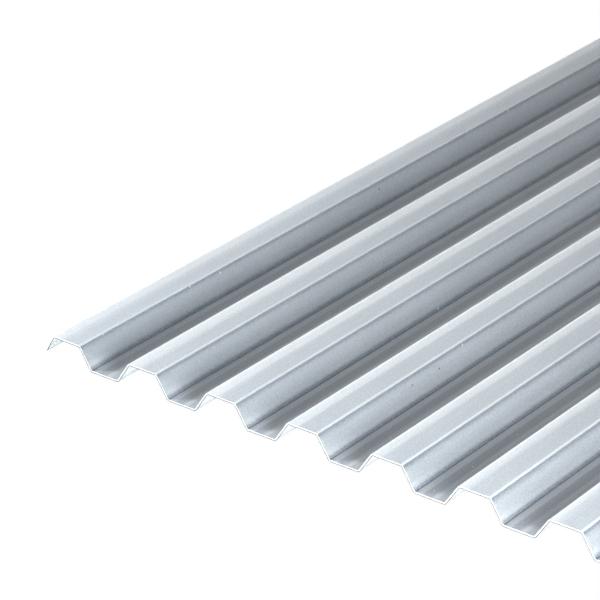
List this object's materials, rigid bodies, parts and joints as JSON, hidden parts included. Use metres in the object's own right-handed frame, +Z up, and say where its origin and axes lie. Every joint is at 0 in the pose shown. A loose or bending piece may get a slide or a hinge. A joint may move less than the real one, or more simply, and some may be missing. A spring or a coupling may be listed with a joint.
{
  "type": "trapezoidal plastic roof sheet",
  "caption": "Flat-lying translucent plastic roof sheet with a trapezoidal corrugated section, thin wall and short side legs for overlapping.",
  "frame": {"origin": "underside of the middle trough, halfway along the sheet, where the sheet rests", "axes": "+X across the ribs, +Y along the ribs, +Z up, out of the weather side"},
  "size_m": [1.09, 2, 0.018],
  "materials": {
    "sheet_plastic": "extruded translucent PVC with a faint silver-blue tint, semi-gloss"
  },
  "bodies": {
    "root": {"roof_sheet": "sheet_plastic"}
  },
  "joints": []
}
